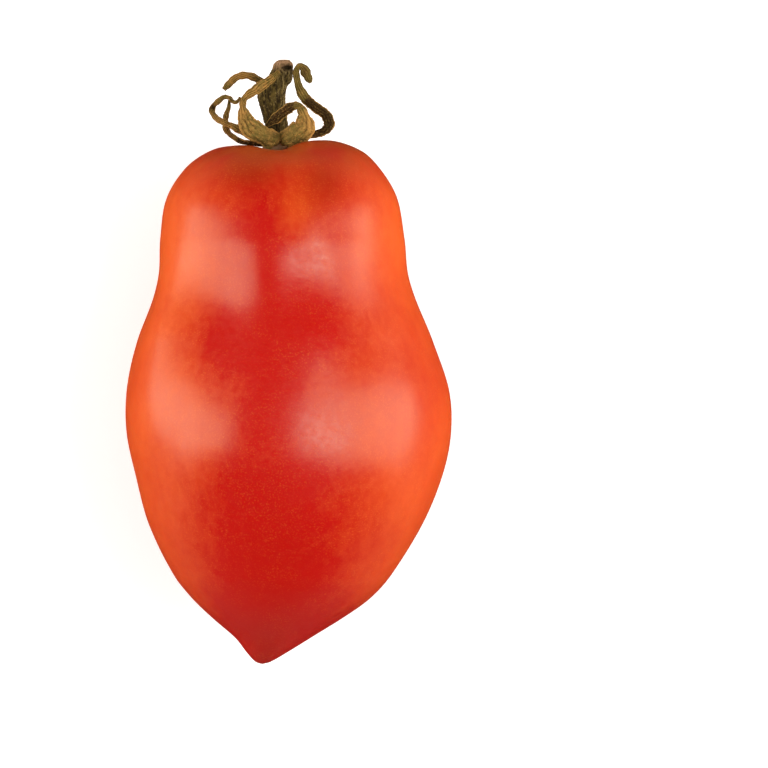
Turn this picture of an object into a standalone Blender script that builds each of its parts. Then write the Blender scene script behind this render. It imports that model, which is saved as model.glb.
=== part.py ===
"""Whole plum tomato with its stalk and six dried sepals, lying on its side on a small flat spot.

+Y runs along the fruit towards the stalk, +Z is up and z = 0 is the surface it rests on.
"""

import bisect
import math

import bmesh
import bpy
from mathutils import Vector

MILLIMETRE = 0.001

# Driving dimensions, in millimetres
AXIS_HEIGHT = 17.0
BLADE_THICKNESS = 0.4
GROOVE_DEPTH = 0.75
GROOVE_FULL_ABOVE = 21.0
GROOVE_FADE_LENGTH = 4.5
GROOVE_FULL_FROM_RADIUS = 8.0
CREST_ABOVE = 20.0
CREST_DIP = 1.1
CREST_RADIUS = 6.0
CREST_WIDTH = 3.0

# Driving proportions and angles
FRONT_GROOVE_ANGLE = 92.5
REAR_GROOVE_ANGLE = 270.0
GROOVE_WIDTH_DEGREES = 24.0
STALK_RIBS = 5
STALK_RIB_SHARE = 0.09
BLADE_CUP_SHARE = 0.12

# Mesh fineness
FRUIT_RINGS = 48
FRUIT_SEGMENTS = 64
STALK_RINGS = 22
STALK_SEGMENTS = 20
SEPAL_STEPS_PER_STATION = 2
SEPAL_STRIPS = 2
DIRECTION_STEP = 0.004
LEAST_HALF_SIZE = 0.01

# Fruit sections from the stem pit to the tip, in millimetres:
# place along the fruit (Y), left and right (X), underside and top (Z), and how much
# higher the right of the section stands than its left
FRUIT_SECTIONS = (
    (25.0, -1.3, -1.3, 17.0, 17.0, 0.0),
    (25.0, -3.8, 1.2, 14.5, 19.5, 0.0),
    (26.1, -5.2, 3.0, 12.9, 21.1, 0.4),
    (27.0, -7.0, 5.0, 11.2, 22.8, 0.8),
    (26.15, -9.8, 9.1, 8.6, 25.4, 0.1),
    (24.1, -12.7, 11.4, 6.0, 28.3, 0.0),
    (20.2, -15.2, 13.7, 3.8, 30.6, 0.0),
    (15.2, -16.0, 14.55, 2.9, 31.4, 0.0),
    (11.0, -16.15, 14.95, 1.9, 31.7, 0.0),
    (7.6, -16.9, 15.95, 0.8, 32.3, 0.0),
    (2.4, -18.8, 18.1, -0.2, 33.5, 0.0),
    (-3.6, -20.1, 20.1, -0.6, 34.8, 0.0),
    (-9.0, -20.15, 20.35, -0.7, 35.1, 0.0),
    (-14.5, -19.0, 19.2, -0.2, 34.7, 0.0),
    (-20.5, -17.3, 16.7, 1.5, 32.9, 0.0),
    (-26.5, -14.3, 13.0, 4.7, 29.8, 0.0),
    (-29.4, -12.1, 10.4, 6.9, 27.6, 0.0),
    (-31.8, -9.6, 7.1, 9.2, 25.2, 0.0),
    (-34.4, -6.6, 2.9, 12.2, 21.9, 0.0),
    (-36.4, -5.0, -0.4, 14.7, 19.4, 0.0),
    (-37.4, -4.0, -2.2, 16.1, 17.9, 0.0),
    (-37.65, -3.2, -3.2, 17.0, 17.0, 0.0),
)

# Low swellings and dents of the skin: degrees round the fruit from +X over the top,
# place along it, spread in degrees, spread along it and rise, lengths in millimetres
SKIN_RELIEF = {
    "front ridge": (99.0, 9.0, 14.0, 12.0, 0.7),
    "right shoulder swell": (76.0, 18.0, 12.0, 5.0, 0.4),
    "right waist hollow": (72.0, 6.0, 16.0, 5.0, -0.8),
    "right band swell": (60.0, 9.5, 13.0, 5.5, 0.5),
    "right belly swell": (76.0, 3.5, 13.0, 4.5, 0.8),
    "lower right hollow": (73.0, -4.0, 11.0, 5.0, -0.3),
    "left facet hollow": (114.0, 6.0, 15.0, 4.5, -0.75),
    "left flank swell": (149.0, 5.5, 15.0, 8.5, 1.05),
    "left belly swell": (112.0, -10.0, 22.0, 7.0, 1.0),
    "left lower flank swell": (150.0, -6.0, 14.0, 7.0, 0.4),
    "rear ridge": (272.0, 12.0, 14.0, 8.0, 0.4),
    "rear right hollow": (304.0, 5.0, 14.0, 5.0, -0.6),
    "rear left hollow": (238.0, 8.0, 14.0, 5.0, -0.5),
}

# Stalk sections from the foot in the pit to the broken joint on top, in millimetres:
# place along the stalk (Y), left and right (X), half the depth (Z)
STALK_SECTIONS = (
    (25.35, -1.35, -1.35, 0.0),
    (25.45, -3.1, 0.4, 1.75),
    (26.2, -3.35, 0.65, 2.0),
    (27.2, -2.95, 0.25, 1.6),
    (29.4, -2.95, 0.0, 1.5),
    (32.2, -3.75, -0.2, 1.7),
    (33.3, -3.85, -0.15, 1.8),
    (34.2, -3.35, 0.05, 1.8),
    (34.8, -2.95, 0.55, 1.7),
    (35.5, -2.45, 0.66, 1.55),
    (36.1, -2.1, 0.68, 1.35),
    (36.9, -1.8, 0.58, 1.15),
    (37.42, -1.2, 0.18, 0.7),
    (37.3, -0.6, -0.2, 0.35),
    (36.9, -0.4, -0.4, 0.0),
)

# Sepal stations from root to tip, in millimetres and degrees: X, Y, height over the
# fruit's axis (Z), width of the blade, and its roll from lying flat to a view from above
SEPAL_STATIONS = {
    "sepal_front_left": (
        (-1.95, 26.9, 2.3, 1.3, 0.0),
        (-2.4, 27.45, 3.2, 2.2, 0.0),
        (-3.4, 28.1, 4.0, 2.5, 0.0),
        (-4.6, 28.85, 4.6, 2.6, 0.0),
        (-5.2, 29.9, 4.85, 1.9, 0.0),
        (-5.5, 31.15, 4.7, 1.0, 0.0),
        (-5.45, 32.2, 4.3, 0.85, 0.0),
        (-4.85, 32.9, 3.8, 1.0, 0.0),
        (-4.0, 33.5, 3.3, 1.15, 0.0),
        (-3.2, 34.1, 3.0, 1.15, 0.0),
        (-2.4, 34.65, 2.75, 1.05, 0.0),
        (-1.65, 35.3, 2.5, 0.8, 0.0),
        (-1.1, 35.9, 2.3, 0.45, 0.0),
    ),
    "sepal_front_right": (
        (0.0, 26.9, 2.3, 1.3, 0.0),
        (0.35, 27.6, 3.4, 2.25, 0.0),
        (1.2, 28.35, 4.2, 2.55, 0.0),
        (2.05, 29.0, 4.55, 2.8, 0.0),
        (2.0, 30.0, 4.8, 1.85, 0.0),
        (1.85, 30.8, 4.75, 1.25, 0.0),
        (1.3, 31.5, 4.5, 1.0, 0.0),
        (0.5, 31.45, 4.0, 1.15, 0.0),
        (-0.4, 30.95, 3.4, 1.25, 0.0),
        (-1.3, 30.25, 2.95, 1.15, 0.0),
        (-2.1, 29.55, 2.6, 0.85, 0.0),
        (-2.7, 29.05, 2.4, 0.45, 0.0),
    ),
    "sepal_right": (
        (1.2, 27.5, 0.2, 1.7, 60.0),
        (2.5, 27.9, 0.2, 1.6, 60.0),
        (4.1, 28.3, 0.2, 1.4, 45.0),
        (5.1, 29.2, 0.2, 1.4, 15.0),
        (4.75, 30.5, 0.3, 1.35, 0.0),
        (3.55, 31.4, 0.5, 1.3, 0.0),
        (2.25, 32.5, 0.8, 1.3, 0.0),
        (1.5, 33.7, 1.1, 1.15, 0.0),
        (1.15, 34.9, 1.4, 0.85, 0.0),
        (1.05, 35.9, 1.6, 0.75, 0.0),
        (1.4, 36.55, 1.65, 0.75, 0.0),
        (1.95, 36.3, 1.55, 1.1, 0.0),
        (2.3, 35.6, 1.45, 1.25, 0.0),
        (2.65, 34.9, 1.35, 0.95, 0.0),
        (2.85, 34.5, 1.3, 0.5, 0.0),
    ),
    "sepal_back": (
        (-1.35, 26.95, -2.5, 1.9, 0.0),
        (-1.3, 28.0, -3.4, 2.6, 0.0),
        (-1.4, 30.0, -3.8, 2.0, 0.0),
        (-1.8, 32.0, -3.6, 1.4, 0.0),
        (-2.6, 33.8, -3.1, 1.1, 0.0),
        (-3.5, 34.85, -2.5, 1.0, 0.0),
        (-4.5, 35.4, -2.0, 0.95, 0.0),
        (-5.5, 35.55, -1.6, 0.9, 0.0),
        (-6.5, 35.25, -1.3, 0.9, 0.0),
        (-7.3, 34.5, -1.1, 0.85, 0.0),
        (-8.0, 33.75, -1.0, 0.65, 0.0),
    ),
    "sepal_left_outer": (
        (-3.75, 27.7, 1.1, 1.4, 60.0),
        (-5.0, 28.3, 1.8, 1.4, 40.0),
        (-6.2, 28.8, 2.0, 1.05, 20.0),
        (-7.1, 29.2, 1.9, 0.8, 0.0),
        (-8.0, 29.6, 1.6, 0.7, 0.0),
        (-8.9, 30.1, 1.2, 0.65, 0.0),
        (-9.4, 30.95, 0.8, 0.75, 0.0),
        (-9.2, 31.7, 0.6, 0.75, 0.0),
        (-8.55, 32.3, 0.6, 0.7, 0.0),
        (-7.9, 32.75, 0.8, 0.6, 0.0),
        (-7.2, 32.6, 1.1, 0.55, 0.0),
        (-6.8, 32.15, 1.5, 0.5, 0.0),
        (-6.3, 32.1, 2.1, 0.45, 0.0),
        (-5.9, 32.6, 2.6, 0.35, 0.0),
    ),
    "sepal_left_inner": (
        (-3.75, 27.2, -1.0, 1.4, 75.0),
        (-5.1, 27.3, -1.1, 1.2, 75.0),
        (-6.25, 27.6, -1.0, 0.9, 60.0),
        (-7.1, 28.1, -0.8, 0.75, 25.0),
        (-7.65, 28.75, -0.5, 0.8, 0.0),
        (-7.8, 29.5, -0.2, 0.75, 0.0),
        (-7.65, 30.6, 0.0, 0.7, 0.0),
        (-7.35, 31.5, 0.0, 0.5, 0.0),
        (-7.3, 32.4, 0.0, 0.35, 0.0),
    ),
}

# Base colour, roughness
FRUIT_FINISH = ((0.72, 0.035, 0.012), 0.32)
STALK_FINISH = ((0.13, 0.11, 0.035), 0.75)
SEPAL_FINISH = ((0.30, 0.17, 0.045), 0.7)


def clear_scene():
    for obj in list(bpy.data.objects):
        bpy.data.objects.remove(obj, do_unlink=True)


def new_collection(name):
    collection = bpy.data.collections.new(name)
    bpy.context.scene.collection.children.link(collection)
    return collection


def new_material(name, finish):
    color, roughness = finish
    material = bpy.data.materials.new(name)
    material.use_nodes = True
    shader = material.node_tree.nodes["Principled BSDF"]
    shader.inputs["Base Color"].default_value = (*color, 1.0)
    shader.inputs["Roughness"].default_value = roughness
    shader.inputs["Metallic"].default_value = 0.0
    return material


def chord_lengths(points):
    """Distance along the points at each of them, with the whole as 1."""
    lengths = [0.0]
    for before, after in zip(points, points[1:]):
        lengths.append(lengths[-1] + (Vector(after) - Vector(before)).length)
    return [length / lengths[-1] for length in lengths]


def smooth_rows(rows, knots, place):
    """The rows' values at a place from 0 to 1, on cubic curves through every row."""
    last = len(rows) - 1
    after = min(max(bisect.bisect_right(knots, place), 1), last)
    before = after - 1
    span = knots[after] - knots[before]
    part = (place - knots[before]) / span
    values = []
    for column in range(len(rows[0])):
        slopes = []
        for row in (before, after):
            low, high = max(row - 1, 0), min(row + 1, last)
            slopes.append((rows[high][column] - rows[low][column]) / (knots[high] - knots[low]))
        start, end = rows[before][column], rows[after][column]
        values.append(
            (2 * part**3 - 3 * part**2 + 1) * start
            + (part**3 - 2 * part**2 + part) * span * slopes[0]
            + (3 * part**2 - 2 * part**3) * end
            + (part**3 - part**2) * span * slopes[1]
        )
    return values


def falling_off(distance, reach):
    """1 at no distance, falling off smoothly over the reach."""
    return math.exp(-((distance / reach) ** 2))


def degrees_apart(angle, middle):
    """Degrees from the angle in radians to the middle in degrees, the short way round."""
    return (math.degrees(angle) - middle + 180.0) % 360.0 - 180.0


def groove(angle):
    """1 in the middle of the front or rear groove and 0 away from both."""
    return sum(
        falling_off(degrees_apart(angle, middle), GROOVE_WIDTH_DEGREES)
        for middle in (FRONT_GROOVE_ANGLE, REAR_GROOVE_ANGLE)
    )


def skin_rise(along, angle):
    """How far the swellings and dents lift the skin at one place, in millimetres."""
    return sum(
        rise * falling_off(degrees_apart(angle, turn), spread) * falling_off(along - place, reach)
        for turn, place, spread, reach, rise in SKIN_RELIEF.values()
    )


def fruit_point(place, angle, knots):
    """A point of the fruit's skin, place along it from pit to tip and angle round it from +X."""
    along, left, right, low, high, tilt = smooth_rows(FRUIT_SECTIONS, knots, place)
    middle_x, half_x = (left + right) / 2, max((right - left) / 2, LEAST_HALF_SIZE)
    middle_z, half_z = (low + high) / 2, max((high - low) / 2, LEAST_HALF_SIZE)
    growth = min(1.0, half_z / GROOVE_FULL_FROM_RADIUS)
    fade = falling_off(max(0.0, GROOVE_FULL_ABOVE - along), GROOVE_FADE_LENGTH)
    out = skin_rise(along, angle) - GROOVE_DEPTH * fade * growth * groove(angle)
    crest = falling_off(half_x - CREST_RADIUS, CREST_WIDTH) if along > CREST_ABOVE else 0.0
    outward = Vector((math.cos(angle) / half_x, 0.0, math.sin(angle) / half_z)).normalized()
    x = middle_x + half_x * math.cos(angle) + out * outward.x
    z = middle_z + half_z * math.sin(angle) + out * outward.z
    y = along + tilt / 2 * math.cos(angle) - CREST_DIP * crest * groove(angle)
    return Vector((x, y, max(z, 0.0)))


def stalk_point(place, angle, knots):
    """A point of the ribbed stalk, place along it from its foot to its broken top."""
    along, left, right, half_z = smooth_rows(STALK_SECTIONS, knots, place)
    middle_x, half_x = (left + right) / 2, (right - left) / 2
    rib = 1.0 - STALK_RIB_SHARE * (0.5 - 0.5 * math.cos(STALK_RIBS * angle))
    x = middle_x + half_x * rib * math.cos(angle)
    z = AXIS_HEIGHT + half_z * rib * math.sin(angle)
    return Vector((x, along, z))


def shaped_sphere(name, rings, segments, sections, point_of, collection, material):
    """A closed body: a sphere whose every ring takes the place of one section."""
    knots = chord_lengths([(row[0], row[2]) for row in sections])
    mesh = bpy.data.meshes.new(name)
    shape = bmesh.new()
    bmesh.ops.create_uvsphere(shape, u_segments=segments, v_segments=rings, radius=1.0)
    for vertex in shape.verts:
        place = math.acos(max(-1.0, min(1.0, vertex.co.z))) / math.pi
        angle = math.atan2(vertex.co.y, vertex.co.x)
        vertex.co = point_of(place, angle, knots) * MILLIMETRE
    if shape.calc_volume(signed=True) < 0.0:
        bmesh.ops.reverse_faces(shape, faces=shape.faces)
    shape.to_mesh(mesh)
    shape.free()
    mesh.shade_smooth()
    mesh.materials.append(material)
    body = bpy.data.objects.new(name, mesh)
    collection.objects.link(body)
    return body


def blade_frame(stations, knots, place):
    """Centre, across and normal directions and width of a sepal's blade at one place."""
    x, y, z, width, roll = smooth_rows(stations, knots, place)
    before = Vector(smooth_rows(stations, knots, max(place - DIRECTION_STEP, 0.0))[:3])
    after = Vector(smooth_rows(stations, knots, min(place + DIRECTION_STEP, 1.0))[:3])
    along = (after - before).normalized()
    flat = along.cross(Vector((0.0, 0.0, 1.0))).normalized()
    normal = flat.cross(along)
    turn = math.radians(roll)
    across = flat * math.cos(turn) + normal * math.sin(turn)
    return Vector((x, y, z + AXIS_HEIGHT)), across, across.cross(along), width


def sepal(name, stations, collection, material):
    """One sepal: a cupped strip along its stations, given its thickness by Solidify."""
    knots = chord_lengths([row[:3] for row in stations])
    mesh = bpy.data.meshes.new(name)
    strip = bmesh.new()
    bmesh.ops.create_grid(
        strip,
        x_segments=SEPAL_STRIPS,
        y_segments=SEPAL_STEPS_PER_STATION * (len(stations) - 1),
        size=1.0,
    )
    for vertex in strip.verts:
        side, place = vertex.co.x, (vertex.co.y + 1.0) / 2
        centre, across, normal, width = blade_frame(stations, knots, place)
        cup = BLADE_CUP_SHARE * width * (1.0 - side**2)
        vertex.co = (centre + across * side * width / 2 + normal * cup) * MILLIMETRE
    strip.to_mesh(mesh)
    strip.free()
    mesh.shade_smooth()
    mesh.materials.append(material)
    blade = bpy.data.objects.new(name, mesh)
    collection.objects.link(blade)
    solidify = blade.modifiers.new("thickness", "SOLIDIFY")
    solidify.thickness = BLADE_THICKNESS * MILLIMETRE
    solidify.offset = 0.0
    return blade


def main():
    clear_scene()
    tomato = new_collection("plum_tomato")
    shaped_sphere(
        "fruit",
        FRUIT_RINGS,
        FRUIT_SEGMENTS,
        FRUIT_SECTIONS,
        fruit_point,
        tomato,
        new_material("tomato_skin", FRUIT_FINISH),
    )
    shaped_sphere(
        "stalk",
        STALK_RINGS,
        STALK_SEGMENTS,
        STALK_SECTIONS,
        stalk_point,
        tomato,
        new_material("dry_stalk", STALK_FINISH),
    )
    dry_sepal = new_material("dry_sepal", SEPAL_FINISH)
    for name, stations in SEPAL_STATIONS.items():
        sepal(name, stations, tomato, dry_sepal.copy())


main()
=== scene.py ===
"""A whole plum tomato on a pale studio floor: its skin, its ribbed stalk and its dried sepals.

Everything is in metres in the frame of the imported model: +Y runs along the fruit towards the
stalk, +Z is up and the floor is at z = 0. Tables of the fruit's own sizes are in millimetres.
"""

import math

import bpy
import numpy as np
from bpy.props import FloatProperty, FloatVectorProperty, IntProperty, PointerProperty
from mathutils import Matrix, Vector, noise


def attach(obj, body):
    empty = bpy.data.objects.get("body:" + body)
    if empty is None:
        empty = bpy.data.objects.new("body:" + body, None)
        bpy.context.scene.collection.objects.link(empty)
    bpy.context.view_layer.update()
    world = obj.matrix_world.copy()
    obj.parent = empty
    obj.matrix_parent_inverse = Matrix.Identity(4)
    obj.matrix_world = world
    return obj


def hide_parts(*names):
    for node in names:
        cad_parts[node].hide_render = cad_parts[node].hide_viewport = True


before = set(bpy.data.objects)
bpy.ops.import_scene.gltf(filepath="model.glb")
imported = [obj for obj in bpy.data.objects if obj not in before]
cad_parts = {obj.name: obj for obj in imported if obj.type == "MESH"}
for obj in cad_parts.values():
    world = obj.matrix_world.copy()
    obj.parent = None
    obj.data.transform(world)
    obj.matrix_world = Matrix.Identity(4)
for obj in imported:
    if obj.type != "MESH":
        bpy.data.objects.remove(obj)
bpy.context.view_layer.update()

bl_info = {
    "name": "Plum tomato",
    "version": (1, 0, 0),
    "blender": (4, 5, 0),
    "location": "View3D > Sidebar > Tomato",
    "description": "Builds a whole plum tomato with its stalk and dried sepals in a soft studio light",
    "category": "Add Mesh",
}

MILLIMETRE = 0.001
BODY = "root"

# Fruit sections from the stem pit to the tip, in millimetres:
# place along the fruit (Y), left and right (X), underside and top (Z), and how much
# higher the right of the section stands than its left
FRUIT_SECTIONS = (
    (25.0, -1.3, -1.3, 17.0, 17.0, 0.0),
    (25.0, -3.8, 1.2, 14.5, 19.5, 0.0),
    (26.1, -5.2, 3.0, 12.9, 21.1, 0.4),
    (27.0, -7.0, 5.0, 11.2, 22.8, 0.8),
    (26.15, -9.8, 9.1, 8.6, 25.4, 0.1),
    (24.1, -12.7, 11.4, 6.0, 28.3, 0.0),
    (20.2, -15.2, 13.7, 3.8, 30.6, 0.0),
    (15.2, -16.0, 14.55, 2.9, 31.4, 0.0),
    (11.0, -16.15, 14.95, 1.9, 31.7, 0.0),
    (7.6, -16.9, 15.95, 0.8, 32.3, 0.0),
    (2.4, -18.8, 18.1, -0.2, 33.5, 0.0),
    (-3.6, -20.1, 20.1, -0.6, 34.8, 0.0),
    (-9.0, -20.15, 20.35, -0.7, 35.1, 0.0),
    (-14.5, -19.0, 19.2, -0.2, 34.7, 0.0),
    (-20.5, -17.3, 16.7, 1.5, 32.9, 0.0),
    (-26.5, -14.3, 13.0, 4.7, 29.8, 0.0),
    (-29.4, -12.1, 10.4, 6.9, 27.6, 0.0),
    (-31.8, -9.6, 7.1, 9.2, 25.2, 0.0),
    (-34.4, -6.6, 2.9, 12.2, 21.9, 0.0),
    (-36.4, -5.0, -0.4, 14.7, 19.4, 0.0),
    (-37.4, -4.0, -2.2, 16.1, 17.9, 0.0),
    (-37.65, -3.2, -3.2, 17.0, 17.0, 0.0),
)

# Low swellings and dents of the skin: degrees round the fruit from +X over the top,
# place along it, spread in degrees, spread along it and rise, lengths in millimetres
SKIN_RELIEF = {
    "front ridge": (99.0, 9.0, 14.0, 12.0, 0.7),
    "right shoulder swell": (76.0, 18.0, 12.0, 5.0, 0.4),
    "right waist hollow": (72.0, 6.0, 16.0, 5.0, -0.8),
    "right band swell": (60.0, 9.5, 13.0, 5.5, 0.5),
    "right belly swell": (76.0, 3.5, 13.0, 4.5, 0.8),
    "lower right hollow": (73.0, -4.0, 11.0, 5.0, -0.3),
    "left facet hollow": (114.0, 6.0, 15.0, 4.5, -0.75),
    "left flank swell": (149.0, 5.5, 15.0, 8.5, 1.05),
    "left belly swell": (112.0, -10.0, 22.0, 7.0, 1.0),
    "left lower flank swell": (150.0, -6.0, 14.0, 7.0, 0.4),
    "rear ridge": (272.0, 12.0, 14.0, 8.0, 0.4),
    "rear right hollow": (304.0, 5.0, 14.0, 5.0, -0.6),
    "rear left hollow": (238.0, 8.0, 14.0, 5.0, -0.5),
    "wrinkle near the left flank": (134.0, -16.6, 4.0, 1.4, -0.1),
    "wrinkle under it": (144.0, -19.4, 4.0, 1.2, -0.1),
}
# Places where the skin stayed more orange, or ripened further where the amount is below 0 (the middle
# strip and the two facet hollows are deeper red partly as painted shade, where the skin misses the side
# lights), and then places where it is darker, on the shoulder partly as painted shade: X and Y of the
# middle, width and height in millimetres, and how much
UNRIPE_ZONES = {
    "shoulder between the lobes": (1.6, 19.2, 3.2, 5.0, 0.5),
    "left flank of the shoulder": (-14.0, 15.0, 4.0, 8.0, 0.35),
    "right flank of the shoulder": (13.5, 16.0, 4.5, 8.0, 0.35),
    # The next three zones are deeper red partly as painted shade, where the skin misses the side
    # softboxes' light.
    "ripe middle strip and its painted shade": (-1.5, 4.0, 3.4, 12.0, -0.35),
    "ripe left hollow and its painted shade": (-8.0, 2.2, 3.2, 4.6, -0.3),
    "ripe right band and its painted shade": (4.5, 4.0, 3.5, 3.2, -0.2),
    # The next zone makes the lower right flank less orange.
    "redder lower right flank": (16.5, -2.0, 5.0, 8.0, -0.3),
    "lower body": (-6.0, -21.0, 12.0, 9.0, -0.24),
    "ripe tip": (-3.0, -33.0, 7.0, 6.0, -0.3),
}
DARK_ZONES = {
    # The shoulder's two darker lobes are partly its own colour and partly painted shade, where it faces
    # away from the lights.
    "left lobe of the shoulder": (-4.5, 24.2, 4.2, 3.2, 0.85),
    "right lobe of the shoulder": (4.6, 22.4, 2.8, 4.6, 0.7),
    "tip": (-3.0, -36.5, 3.0, 2.6, 0.4),
}
# The groove between the two lobes: degrees round the fruit, spread in degrees, and where
# along the fruit it is full and how soon it fades, in millimetres
GROOVE_ANGLES = (92.5, 270.0)
GROOVE_SPREAD = 24.0
GROOVE_FULL_ABOVE = 21.0
GROOVE_FADE_LENGTH = 4.5
# The crest of the shoulder, which the groove dips: half the width of its sections, their
# spread, and where along the fruit it begins, in millimetres
CREST_HALF_WIDTH = 6.0
CREST_SPREAD = 3.0
CREST_BEGINS = 20.0
# Half depth of the sections from which the groove and the waves are full, the least half size
# that the slopes reckon with, and the length of the random waves, in millimetres
FULL_SKIN_HALF_DEPTH = 8.0
LEAST_HALF_SIZE = 0.01
SKIN_WAVE_LENGTH = 7.0
# Height of the fruit's axis over the floor, in millimetres
AXIS_HEIGHT = 17.0

# Stalk sections from the foot in the pit to the broken joint on top, in millimetres:
# place along the stalk (Y), left and right (X), half the depth (Z)
STALK_SECTIONS = (
    (25.35, -1.35, -1.35, 0.0),
    (25.45, -3.1, 0.4, 1.75),
    (26.2, -3.35, 0.65, 2.0),
    (27.2, -2.95, 0.25, 1.6),
    (29.4, -2.95, 0.0, 1.5),
    (32.2, -3.75, -0.2, 1.7),
    (33.3, -3.85, -0.15, 1.8),
    (34.2, -3.35, 0.05, 1.8),
    (34.8, -2.95, 0.55, 1.7),
    (35.5, -2.45, 0.66, 1.55),
    (36.1, -2.1, 0.68, 1.35),
    (36.9, -1.8, 0.58, 1.15),
    (37.4, -1.2, 0.18, 0.7),
    (37.3, -0.6, -0.2, 0.35),
    (36.9, -0.4, -0.4, 0.0),
)
# Ribs of the stalk: number round it, weight, and place of the first in radians
STALK_RIBS = ((7, 0.2, 0.0), (17, 0.3, 1.0))
# How far the ribs turn to and fro in radians, and over which length in millimetres
STALK_TWIST = 0.25
STALK_TWIST_LENGTH = 2.3
# The bark's knobs: how close they stand round the stalk and along it, how far they turn the
# ribs in radians, and the half depth of the sections from which they and the ribs are full
KNOBS_ROUND = 2.6
KNOBS_ALONG = 0.9
KNOB_TURN = 0.25
FULL_BARK_HALF_DEPTH = 1.2
# Fractal noise of the knobs: how soon the finer ones weaken, the step from one size to the
# next, and how many sizes there are
KNOB_NOISE = (0.7, 2.0, 5)
# The knobs' value at which the bark keeps its outline, and how much the knobs and the hollow
# of the joint show in its colours as painted shade: darker in the furrows and the hollow
KNOB_LEVEL = 0.4
KNOB_SHADE = 0.25
HOLLOW_SHADE = 1.4
# The hollow of the broken joint, and the place behind the front sepals where a painted shadow
# falls on the stalk: X and Y of the middle, width and height in millimetres
JOINT_HOLLOW = (-0.05, 36.42, 0.62, 0.34)
PAINTED_SHADOW_PLACE = (-2.0, 29.0, 1.0, 1.1)

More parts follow.
